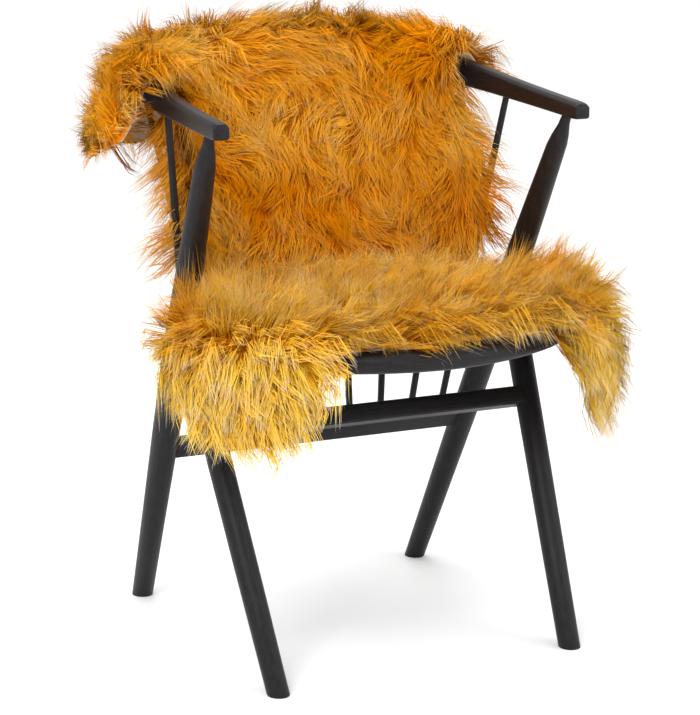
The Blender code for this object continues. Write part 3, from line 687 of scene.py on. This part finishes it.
def pile(across, along):
    """How high the wool stands above the skin."""
    tall = column(PILE_ROWS, "tall", along)
    for hump_along, hump_across, spread, size in HUMPS[1:]:
        far = ((along - hump_along) ** 2 + (0.21 * (across - hump_across)) ** 2) / spread**2
        tall = tall + size * np.exp(-far)
    tall = tall + 0.0045 * ripple(along * 95, across * 21, 0.4)
    return tall + 0.0030 * ripple(along * 190, across * 40, 2.2)


ROWS, STEPS = 131, 111
row_marks = np.linspace(0.0, 1.0, ROWS)
step_marks = np.linspace(0.0, 1.0, STEPS)
PLACE = np.array([[cut_at(r, s) for s in step_marks] for r in row_marks])
SPOT = np.array([[hide_point(a, b) for a, b in line] for line in PLACE]) - MIDDLE


def unit(v):
    """Vectors made one metre long."""
    return v / np.maximum(np.linalg.norm(v, axis=-1, keepdims=True), 1e-9)


DOWN = unit(np.gradient(SPOT, axis=0))
ASIDE = unit(np.gradient(SPOT, axis=1))
STAND = unit(np.cross(DOWN, ASIDE))
print("grid from", SPOT.min(axis=(0, 1)).round(3), "to", SPOT.max(axis=(0, 1)).round(3))

# %% Distances from the four edges, and the flat size
across_runs = np.linalg.norm(np.diff(SPOT, axis=1), axis=2)
down_runs = np.linalg.norm(np.diff(SPOT, axis=0), axis=2)
FROM_LEFT = np.pad(np.cumsum(across_runs, axis=1), ((0, 0), (1, 0)))
FROM_BACK = np.pad(np.cumsum(down_runs, axis=0), ((1, 0), (0, 0)))
FROM_RIGHT = FROM_LEFT[:, -1:] - FROM_LEFT
FROM_FRONT = FROM_BACK[-1:] - FROM_BACK
CELL_AREA = np.linalg.norm(
    np.cross(SPOT[1:, :-1] - SPOT[:-1, :-1], SPOT[:-1, 1:] - SPOT[:-1, :-1]), axis=2
)

# %% [markdown]
# ## The suede skin
# A sheepskin's flesh side is grey-beige suede about two millimetres thick. It shows a
# little at the upper left corner, and more from behind and below. It is a closed thin body:
# the flesh side, the same points moved out along the wool's direction, and a narrow wall
# round the edge.

# %% A closed body between two grids
def draped_body(name, low, high):
    """A closed thin body: two grids of points and a wall round their edge."""
    rows, count = low.shape[:2]
    total = rows * count
    points = np.concatenate([low.reshape(-1, 3), high.reshape(-1, 3)])
    faces = []
    for r in range(rows - 1):
        for c in range(count - 1):
            i = r * count + c
            faces.append((i, i + 1, i + count + 1, i + count))
            faces.append((i + total, i + count + total, i + count + 1 + total, i + 1 + total))
    loop = list(range(count)) + [r * count + count - 1 for r in range(1, rows)]
    loop += [(rows - 1) * count + c for c in range(count - 2, -1, -1)]
    loop += [r * count for r in range(rows - 2, 0, -1)]
    for k, i in enumerate(loop):
        j = loop[(k + 1) % len(loop)]
        faces.append((j, i, i + total, j + total))
    mesh = bpy.data.meshes.new(name)
    mesh.from_pydata(points.tolist(), [], faces)
    made = bpy.data.objects.new(name, mesh)
    bpy.context.scene.collection.objects.link(made)
    only(made)
    bpy.ops.object.mode_set(mode="EDIT")
    bpy.ops.mesh.select_all(action="SELECT")
    bpy.ops.mesh.normals_make_consistent(inside=False)
    bpy.ops.object.mode_set(mode="OBJECT")
    bpy.ops.object.shade_smooth_by_angle(angle=math.radians(50))
    return made


SKIN_THICK = 0.0024
coarse = (slice(None, None, 2), slice(None, None, 2))
skin = draped_body("suede_skin", SPOT[coarse], (SPOT + STAND * SKIN_THICK)[coarse])
print("skin faces", len(skin.data.polygons))

# %% [markdown]
# ## Suede
# Suede is matt, with a short nap. Soft patches and small flecks make it lighter and darker.

# %% The suede material
suede, tree, shader = new_material("suede_flesh_side")
place = node(tree, "ShaderNodeTexCoord")
nap = noise(tree, place.outputs["Object"], Scale=520.0, Detail=4.0, Roughness=0.65)
cloud = noise(tree, place.outputs["Object"], Scale=22.0, Detail=3.0)
tone = node(tree, "ShaderNodeValToRGB")
tone.color_ramp.elements[0].position = 0.35
tone.color_ramp.elements[0].color = (0.330, 0.270, 0.225, 1)
tone.color_ramp.elements[1].position = 0.68
tone.color_ramp.elements[1].color = (0.520, 0.450, 0.385, 1)
join(tree, cloud.outputs["Fac"], tone.inputs["Fac"])
fleck = node(tree, "ShaderNodeMix", data_type="RGBA", blend_type="OVERLAY")
fleck.inputs["Factor"].default_value = 0.35
join(tree, tone.outputs["Color"], fleck.inputs["A"])
join(tree, nap.outputs["Color"], fleck.inputs["B"])
dull = ranged(tree, nap.outputs["Fac"], To_Min=0.82, To_Max=0.98)
colour, height = fleck.outputs["Result"], nap.outputs["Fac"]
surface(tree, shader, colour, dull, height, strength=0.4, distance=0.0006)
shader.inputs["Sheen Weight"].default_value = 0.25
skin.data.materials.append(suede)
print("suede nodes", len(tree.nodes))

# %% [markdown]
# ## The under-wool
# Between the long locks one sees the dense under-wool, darker and redder because little
# light gets there. It is a soft lumpy body on the skin, two fifths as high as the pile, and
# it thins out to the edge.

# %% Height of the under-wool and its body
UNDER_SHARE = 0.42
THIN_EDGE = 0.026
TALL = pile(PLACE[:, :, 0], PLACE[:, :, 1])
EDGE = np.minimum(np.minimum(FROM_LEFT, FROM_RIGHT), np.minimum(FROM_BACK, FROM_FRONT))
near_edge = np.clip(EDGE / THIN_EDGE, 0.0, 1.0)
UNDER = SKIN_THICK + 0.0010 + (UNDER_SHARE * TALL - SKIN_THICK) * np.sqrt(1 - (1 - near_edge) ** 2)
UNDER = UNDER + 0.0018 * ripple(PLACE[:, :, 1] * 420, PLACE[:, :, 0] * 90, 1.3) * near_edge
inner_side = (SPOT + STAND * (SKIN_THICK * 0.6))[coarse]
outer_side = (SPOT + STAND * UNDER[:, :, None])[coarse]
under_wool = draped_body("under_wool", inner_side, outer_side)
print("under-wool faces", len(under_wool.data.polygons))

# %% [markdown]
# ## Wool colours
# The wool is dyed a golden yellow. Each lock is deep orange-brown at its root, which is
# painted shade for the dark between the locks, golden along its length and pale at the tip,
# a painted glow where the fibres are fine and let light through.
# Broad patches are warmer or paler. One group makes these colours, and the locks and the
# under-wool both use it. It reads how far along the lock a point is, and a number that
# differs from lock to lock.

# %% The wool group
def make_wool_group():
    tree, put, out = new_group(
        "wool_colour",
        (
            ("Place", VECTOR, None),
            ("Along", FLOAT, 0.5),
            ("Lock", FLOAT, 0.5),
            ("Warmth", FLOAT, 0.5),
        ),
        (("Colour", COLOUR), ("Roughness", FLOAT), ("Height", FLOAT)),
    )
    patches = noise(tree, put.outputs["Place"], Scale=9.0, Detail=3.0, Roughness=0.55)
    fibres = noise(tree, put.outputs["Place"], Scale=620.0, Detail=2.0)
    golden = node(tree, "ShaderNodeValToRGB")
    ramp = golden.color_ramp
    # painted shade at the root end of the ramp (0.00) and a painted glow of light through the fine
    # fibres at the tip end (1.00)
    for position, colour in (
        (0.00, (0.800, 0.255, 0.005, 1)),
        (0.25, (0.850, 0.370, 0.010, 1)),
        (0.55, (0.895, 0.490, 0.034, 1)),
        (0.85, (0.935, 0.610, 0.110, 1)),
        (1.00, (0.970, 0.760, 0.340, 1)),
    ):
        mark = ramp.elements.new(position)
        mark.color = colour
    ramp.elements.remove(ramp.elements[0])
    ramp.elements.remove(ramp.elements[-1])
    join(tree, put.outputs["Along"], golden.inputs["Fac"])
    warm = node(tree, "ShaderNodeMix", data_type="RGBA", blend_type="MULTIPLY")
    warm.inputs["B"].default_value = (0.79, 0.43, 0.02, 1)
    mask = node(tree, "ShaderNodeMath", operation="ADD")
    join(tree, patches.outputs["Fac"], mask.inputs[0])
    join(tree, put.outputs["Warmth"], mask.inputs[1])
    amount = ranged(tree, mask.outputs[0], From_Min=0.72, From_Max=1.35)
    join(tree, amount, warm.inputs["Factor"])
    join(tree, golden.outputs["Color"], warm.inputs["A"])
    shade = ranged(tree, put.outputs["Lock"], To_Min=0.88, To_Max=1.04)
    lit = node(tree, "ShaderNodeVectorMath", operation="SCALE")
    join(tree, warm.outputs["Result"], lit.inputs[0])
    join(tree, shade, lit.inputs["Scale"])
    join(tree, lit.outputs[0], out.inputs["Colour"])
    rough = ranged(tree, fibres.outputs["Fac"], To_Min=0.78, To_Max=0.96)
    join(tree, rough, out.inputs["Roughness"])
    join(tree, fibres.outputs["Fac"], out.inputs["Height"])
    return tree


wool_group = make_wool_group()
print("wool group has", len(wool_group.nodes), "nodes")

# %% Warmth by height, and the two wool materials
def wool_material(name, along=None):
    """The locks read their own UV map; the under-wool stays near one dark place on the ramp."""
    made, tree, shader = new_material(name)
    place = node(tree, "ShaderNodeTexCoord")
    colour = node(tree, "ShaderNodeGroup")
    colour.node_tree = wool_group
    join(tree, place.outputs["Object"], colour.inputs["Place"])
    parts = node(tree, "ShaderNodeSeparateXYZ")
    join(tree, place.outputs["Object"], parts.inputs[0])
    high = ranged(tree, parts.outputs["Z"], From_Min=0.41, From_Max=0.54, To_Min=0.12, To_Max=0.72)
    join(tree, high, colour.inputs["Warmth"])
    if along is None:
        own = node(tree, "ShaderNodeUVMap", uv_map="lock_map")
        pair = node(tree, "ShaderNodeSeparateXYZ")
        join(tree, own.outputs["UV"], pair.inputs[0])
        join(tree, pair.outputs["X"], colour.inputs["Along"])
        join(tree, pair.outputs["Y"], colour.inputs["Lock"])
    else:
        curls = noise(tree, place.outputs["Object"], Scale=130.0, Detail=3.0)
        spread = ranged(tree, curls.outputs["Fac"], To_Min=along - 0.12, To_Max=along + 0.16)
        join(tree, spread, colour.inputs["Along"])
        join(tree, curls.outputs["Fac"], colour.inputs["Lock"])
    surface(tree, shader, *colour.outputs, strength=0.3, distance=0.0005)
    shader.inputs["Specular IOR Level"].default_value = 0.0
    return made


lock_wool = wool_material("golden_lock_wool")
dense_wool = wool_material("dense_under_wool", along=0.24)
under_wool.data.materials.append(dense_wool)
print("wool materials", lock_wool.name, dense_wool.name)

# %% [markdown]
# ## Where the locks grow
# Locks are planted evenly by area, so a stretched cell of the grid gets more of them. Skin
# that bulges, the hide's edges and the sides of the back get some extra, because the wool
# opens up there.

# %% Plant places on the hide
chance = np.random.default_rng(7)


def read(grid, row, step):
    """Values of a grid between its points, at shares of its rows and steps."""
    y, x = row * (ROWS - 1), step * (STEPS - 1)
    i, j = np.minimum(y.astype(int), ROWS - 2), np.minimum(x.astype(int), STEPS - 2)
    v, u = y - i, x - j
    if grid.ndim == 3:
        v, u = v[:, None], u[:, None]
    top = grid[i, j] * (1 - u) + grid[i, j + 1] * u
    low = grid[i + 1, j] * (1 - u) + grid[i + 1, j + 1] * u
    return top * (1 - v) + low * v


def plant(number, weight):
    """Places for locks, as row and step, spread by each cell's area times its weight."""
    share = (CELL_AREA * weight).ravel()
    ladder = np.cumsum(share) / share.sum()
    marks = (np.arange(number) + chance.random(number)) / number
    cell = np.minimum(np.searchsorted(ladder, marks), len(ladder) - 1)
    row = (cell // (STEPS - 1) + chance.random(number)) / (ROWS - 1)
    step = (cell % (STEPS - 1) + chance.random(number)) / (STEPS - 1)
    return np.clip(row, 0, 1), np.clip(step, 0, 1)


LOCK_COUNT = 6300
FIBRES = 15
MOST_BEND = 45
cell_edge = EDGE[:-1, :-1]
wide_run = np.linalg.norm(SPOT[1:, 1:] - SPOT[1:, :-1], axis=2) + 1e-6
long_run = np.linalg.norm(SPOT[1:, 1:] - SPOT[:-1, 1:], axis=2) + 1e-6
wide_bend = ((STAND[1:, 1:] - STAND[1:, :-1]) * ASIDE[1:, 1:]).sum(axis=2) / wide_run
long_bend = ((STAND[1:, 1:] - STAND[:-1, 1:]) * DOWN[1:, 1:]).sum(axis=2) / long_run
wide_bulge, long_bulge = (1 + 0.030 * np.clip(b, 0, MOST_BEND) for b in (wide_bend, long_bend))
cell_row = row_marks[:-1, None]
beside = np.minimum(FROM_LEFT, FROM_RIGHT)[:-1, :-1]
back_side = np.exp(-beside / 0.018) * (cell_row > 0.15) * (cell_row < 0.58)
extra = 1.0 + 0.8 * np.exp(-cell_edge / 0.016) + 2.6 * back_side
lock_row, lock_step = plant(LOCK_COUNT, wide_bulge * long_bulge * extra)
order = np.argsort(lock_row)
lock_row, lock_step = lock_row[order], lock_step[order]
print("locks", LOCK_COUNT, "of", FIBRES, "fibre tufts")

# %% [markdown]
# ## How the wool lies
# Wool leaves the skin nearly upright and then leans over. On the back it falls down the
# hide in swirls, on the seat it stands up more, at the edges it fans outwards, and on the
# flaps it hangs down. Each lock's first and last direction are mixed from these, and its
# line bends from one to the other.

# %% Directions, lengths and lean of each lock
GRAVITY = np.array([0.0, 0.0, -1.0])


def lay_of_wool(row, step, turned, curled):
    """Each lock's two directions and the zones it stands in.

    Turned locks go out past the hide's side edge and curled ones go round it; both are 0 or 1.
    """
    spot, stand = read(SPOT, row, step), unit(read(STAND, row, step))
    down, aside = unit(read(DOWN, row, step)), unit(read(ASIDE, row, step))
    along, across = read(PLACE[:, :, 1], row, step), read(PLACE[:, :, 0], row, step)
    on_back = np.clip((0.02 - along) / 0.06, 0, 1)
    behind = np.clip((-0.335 - along) / 0.03, 0, 1)
    right_flap = np.clip((across - 1.10) / 0.3, 0, 1)
    left_flap = np.clip((-0.72 - across) / 0.25, 0, 1) * np.clip((along - 0.17) / 0.06, 0, 1)
    left_tuft = np.exp(-((along - 0.160) ** 2 + (0.2 * (across + 1.15)) ** 2) / 0.055**2)
    right_tuft = np.exp(-((along - 0.13) ** 2 + (0.2 * (across - 1.15)) ** 2) / 0.055**2)
    tuft = np.maximum(left_tuft, 0.7 * right_tuft)
    hangs = np.clip((0.80 - stand[:, 2]) / 0.5, 0, 1) * (1 - on_back)
    turn = 1.5 * ripple(along * 26, across * 6.0, 0.9) + 0.9 * ripple(along * 60, across * 14, 3.1)
    turn = turn * (0.45 + 0.75 * on_back) * (1 - 0.75 * hangs)
    lay = down * np.cos(turn)[:, None] + aside * np.sin(turn)[:, None]
    through = on_back * np.clip((along + 0.30) / 0.04, 0, 1) * turned
    through = (through * np.clip((-0.03 - along) / 0.08, 0.25, 1))[:, None]
    fans = np.zeros_like(spot)
    for far, way, width in (
        (FROM_LEFT, -aside * (1 - 0.5 * through) - stand * through * 1.6, 0.024),
        (FROM_RIGHT, aside * (1 - 0.5 * through) - stand * through * 1.1, 0.022),
        (FROM_BACK, -down, 0.022),
        (FROM_FRONT, down * ((1 - right_flap) * (1 - 0.9 * left_flap))[:, None], 0.022),
    ):
        fans += way * np.exp(-read(far, row, step) / width)[:, None]
    fans = fans * ((1 - 0.85 * hangs) * (1 - 0.85 * tuft))[:, None]
    rolled = (behind * curled * np.exp(-read(FROM_LEFT, row, step) / 0.018))[:, None]
    fans = fans * (1 - rolled) + (aside * 0.8 - stand * 0.9) * rolled
    at_rim = np.clip(np.linalg.norm(fans, axis=1), 0, 1)
    fall = GRAVITY - stand * np.minimum(stand @ GRAVITY, 0)[:, None] * (1 - at_rim)[:, None]
    first = stand * (1.05 - 0.30 * on_back - (0.30 + 0.35 * right_flap) * hangs)[:, None]
    first = first + lay * (0.45 + 0.25 * on_back)[:, None]
    first = first * (1 - 0.45 * rolled) + fans * 1.1
    first = first * (1 - 0.5 * tuft)[:, None] - GRAVITY * (0.6 * tuft)[:, None]
    last = stand * (0.56 - 0.36 * on_back - 0.40 * hangs)[:, None]
    last = last + lay * (0.75 + 0.2 * on_back)[:, None] * (1 - 0.6 * at_rim)[:, None]
    last = last + fans * 1.2 - stand * (0.45 * at_rim * (1 - right_flap))[:, None]
    last = last + fall * (0.50 + 0.9 * hangs + 0.5 * at_rim * (1 - 0.6 * through[:, 0]))[:, None]
    last = last * (1 - 0.6 * tuft)[:, None] - GRAVITY * tuft[:, None]
    at_front = np.exp(-read(FROM_FRONT, row, step) / 0.022) * (1 - tuft)
    flap = np.maximum(right_flap, left_flap)
    first = first + (GRAVITY - stand * 0.5) * (0.8 * at_front * flap)[:, None]
    last = last + GRAVITY * (at_front * (1.3 + 1.5 * flap))[:, None]
    longer = 0.010 * (1 - on_back) * (1 - hangs) + 0.028 * tuft + 0.022 * at_front
    longer = longer + (0.012 * hangs + 0.012 * at_front) * right_flap
    trimmed = np.maximum(np.exp(-(((across + 0.58) / 0.24) ** 2)), 0.8 * left_flap)
    longer = longer - 0.036 * at_front * trimmed
    return spot, unit(first), unit(last), stand, on_back, hangs, at_rim, longer


turned = (chance.random(LOCK_COUNT) < 0.75).astype(float)
curled = (chance.random(LOCK_COUNT) < 0.4).astype(float)
laid = lay_of_wool(lock_row, lock_step, turned, curled)
spot, first, last, stand, on_back, hangs, at_rim, longer = laid
depth = read(UNDER, lock_row, lock_step)
from_side = [read(far, lock_row, lock_step) for far in (FROM_LEFT, FROM_RIGHT)]
side_rim = np.exp(-np.minimum(*from_side) / 0.02)
LONG = 0.050 + 0.002 * on_back + 0.012 * hangs + 0.008 * at_rim
LONG = LONG + 0.034 * side_rim * on_back * turned + longer
LONG = LONG * (1 + 0.22 * chance.standard_normal(LOCK_COUNT).clip(-2, 2))
print("lock length from", LONG.min().round(3), "to", LONG.max().round(3), "m")

# %% [markdown]
# ## Growing the fibres
# Each lock is a handful of fine tapering tufts that start apart and close together at the
# tip, as real wool does. A tuft is a closed three-sided spike with one ring between its
# root and its tip, so it has ten triangles. All are worked out at once as arrays and
# joined as a few meshes, one for each stretch of the hide. A fleece scatters light softly,
# so the tufts are shaded mostly with the skin's own direction and not with their own; only
# the locks that go out past the sides of the back keep theirs.

# %% Tufts as arrays of points
LEVELS = np.array([0.0, 0.55, 1.0])
WIDTHS = np.array([0.00080, 0.00062, 0.0])
CORNERS = 7
LOCK_RADIUS = 0.0095
GATHER = 0.50
SWAY = 0.14
ROOT_DEPTH = 0.0030


def lock_line(start, first, last, size, sway, level):
    """A lock's own line at one level: it bends from its first direction to its last."""
    bend = level**1.25
    reach = first * (level - 0.5 * bend * level)[:, None] + last * (0.5 * bend * level)[:, None]
    size = size[:, None]
    return start + reach * size + sway * np.sin(level * 4.2)[:, None] * size * SWAY


def grow(index):
    """Points of the chosen locks' tufts, as tufts by corners by 3, and their lock numbers."""
    who = np.repeat(index, FIBRES)
    number = len(who)
    angle = chance.random(number) * 2 * math.pi
    radius = np.sqrt(chance.random(number)) * LOCK_RADIUS
    one = unit(np.cross(stand[who], last[who] + 0.01))
    two = np.cross(stand[who], one)
    apart = one * (np.cos(angle) * radius)[:, None] + two * (np.sin(angle) * radius)[:, None]
    stray = chance.standard_normal((number, 3))
    stray = stray * (0.14 + 0.20 * (chance.random(number) > 0.80))[:, None]
    way = unit(last[who] + stray)
    size = LONG[who] * (0.72 + 0.38 * chance.random(number))
    sway = unit(chance.standard_normal((LOCK_COUNT, 3)))[who] + stray
    base = spot[who] + stand[who] * (depth[who] - ROOT_DEPTH)[:, None]
    points = np.zeros((number, CORNERS, 3))
    spin = chance.random(number) * math.pi
    for n, (level, width) in enumerate(zip(LEVELS, WIDTHS)):
        at = np.full(number, level)
        gather = 1 - GATHER * level**1.3
        centre = lock_line(base + apart * gather, first[who], way, size, sway, at)
        if width == 0:
            points[:, -1] = centre
            continue
        flat = one * np.cos(spin)[:, None] + two * np.sin(spin)[:, None]
        thin = unit(np.cross(flat, way + first[who]))
        points[:, 3 * n] = centre + flat * width
        points[:, 3 * n + 1] = centre - flat * width
        points[:, 3 * n + 2] = centre + thin * width * 0.7
    return points, who


CLOSED_SPIKE = [
    (0, 2, 1),
    (0, 1, 4), (0, 4, 3), (1, 2, 5), (1, 5, 4), (2, 0, 3), (2, 3, 5),
    (3, 4, 6), (4, 5, 6), (5, 3, 6),
]
print("triangles a tuft", len(CLOSED_SPIKE))

# %% Join the tufts of one stretch as a mesh
ROOM, EASE = 0.012, 0.013
OWN_WAY, SKIN_WAY = 0.28, 0.72


def held_in(points):
    """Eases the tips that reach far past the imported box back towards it."""
    for axis in range(3):
        top = CAD_BOUNDS[1][axis] + ROOM
        bottom = CAD_BOUNDS[0][axis] - ROOM
        over = np.maximum(points[..., axis] - top, 0.0)
        under = np.maximum(bottom - points[..., axis], 0.0)
        points[..., axis] += EASE * (1 - np.exp(-over / EASE)) - over
        points[..., axis] -= EASE * (1 - np.exp(-under / EASE)) - under
    return points


def wool_mesh(name, points, tone, pale, up):
    """One mesh of closed spikes with their place on the colour ramp and soft shading."""
    number = len(points)
    spike = np.array(CLOSED_SPIKE)
    corners = (spike[None] + CORNERS * np.arange(number)[:, None, None]).reshape(-1)
    mesh = bpy.data.meshes.new(name)
    mesh.vertices.add(number * CORNERS)
    mesh.vertices.foreach_set("co", points.astype(np.float32).ravel())
    mesh.loops.add(len(corners))
    mesh.loops.foreach_set("vertex_index", corners.astype(np.int32))
    total = number * len(spike)
    mesh.polygons.add(total)
    mesh.polygons.foreach_set("loop_start", np.arange(0, 3 * total, 3, dtype=np.int32))
    mesh.polygons.foreach_set("use_smooth", np.ones(total, bool))
    mesh.update(calc_edges=True)
    own_way = np.empty(number * CORNERS * 3, np.float32)
    mesh.vertex_normals.foreach_get("vector", own_way)
    soft_way = own_way.reshape(-1, 3) * OWN_WAY + np.repeat(up, CORNERS, axis=0) * SKIN_WAY
    mesh.normals_split_custom_set_from_vertices(unit(soft_way))
    level = np.tile(np.repeat(LEVELS, (3, 3, 1)), number) + np.repeat(pale, CORNERS)
    own = np.stack([np.clip(level, 0, 1), np.repeat(tone, CORNERS)], axis=1)
    layer = mesh.uv_layers.new(name="lock_map")
    layer.data.foreach_set("uv", own[corners].astype(np.float32).ravel())
    made = bpy.data.objects.new(name, mesh)
    bpy.context.scene.collection.objects.link(made)
    mesh.materials.append(lock_wool)
    return made


STRETCHES = ("wool_behind_bow", "wool_back_upper", "wool_back_lower", "wool_seat", "wool_flaps")
lock_tone = np.clip(0.5 + 0.22 * chance.standard_normal(LOCK_COUNT), 0.02, 0.98)
fringe = side_rim * on_back * turned
lock_pale = 0.3 * fringe + 0.04 * hangs
lock_up = stand * (1 - np.clip(1.6 * fringe, 0, 1))[:, None]
wool = []
for name, index in zip(STRETCHES, np.arange(LOCK_COUNT).reshape(len(STRETCHES), -1)):
    points, who = grow(index)
    points = held_in(points)
    tone = np.clip(lock_tone[who] + 0.12 * chance.standard_normal(len(who)), 0.01, 0.99)
    made = wool_mesh(name, points, tone, lock_pale[who], lock_up[who])
    wool.append(made)
    print(name, len(made.data.polygons), "triangles, up to", points.max(axis=(0, 1)).round(3))

# %% [markdown]
# ## The hide's pieces join the chair
# The skin is a draped sheet and the wool goes with it: all are joined to the chair's root
# body. Together they stand for the slab and the rim strips of the imported model, which
# stay behind for weight and contact, hidden.

hide_nodes = [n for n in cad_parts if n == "fleece" or n.startswith("rim_")]
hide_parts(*hide_nodes)
for piece in (skin, under_wool, *wool):
    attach(piece, "root")
print("the hide replaces", len(hide_nodes), "packed pieces")

# %% [markdown]
# ## Floor and light
# A product photograph stands on a white sweep under big soft lights. The key light comes
# from the upper left, in front, a wide fill on the right keeps the far legs open, and a
# weak light from above brings out the top rail's wool.

# %% The pale floor
bpy.ops.object.select_all(action="DESELECT")
bpy.ops.mesh.primitive_plane_add(size=60.0, location=(0.0, 0.0, 0.0))
floor = bpy.context.active_object
floor.name = "studio_floor"
paint, tree, shader = new_material("pale_floor")
place = node(tree, "ShaderNodeTexCoord")
faint = noise(tree, place.outputs["Object"], Scale=1.2, Detail=2.0)
tone = ranged(tree, faint.outputs["Fac"], To_Min=0.95, To_Max=0.97)
join(tree, tone, shader.inputs["Base Color"])
shader.inputs["Roughness"].default_value = 0.6
shader.inputs["Specular IOR Level"].default_value = 0.2
floor.data.materials.append(paint)
print("floor", [round(v, 1) for v in floor.dimensions])

# %% Lights and the white surround
def area_light(name, place, target, size, power):
    data = bpy.data.lights.new(name, "AREA")
    data.shape = "SQUARE"
    data.size = size
    data.energy = power
    lamp = bpy.data.objects.new(name, data)
    lamp.location = place
    lamp.rotation_euler = (Vector(target) - Vector(place)).to_track_quat("-Z", "Y").to_euler()
    bpy.context.scene.collection.objects.link(lamp)


area_light("key_light", (-2.1, -2.1, 2.7), (0.0, 0.0, 0.5), 1.6, 80)
area_light("fill_light", (2.4, -2.4, 1.5), (0.0, 0.0, 0.4), 2.2, 30)
area_light("top_light", (0.2, 0.5, 2.8), (0.0, 0.0, 0.4), 1.6, 24)

surround = bpy.data.worlds.new("white_surround")
surround.use_nodes = True
glow = surround.node_tree.nodes["Background"]
glow.inputs["Color"].default_value = (1.0, 1.0, 1.0, 1)
glow.inputs["Strength"].default_value = 1.06
bpy.context.scene.world = surround
bpy.context.scene.view_settings.view_transform = "Standard"
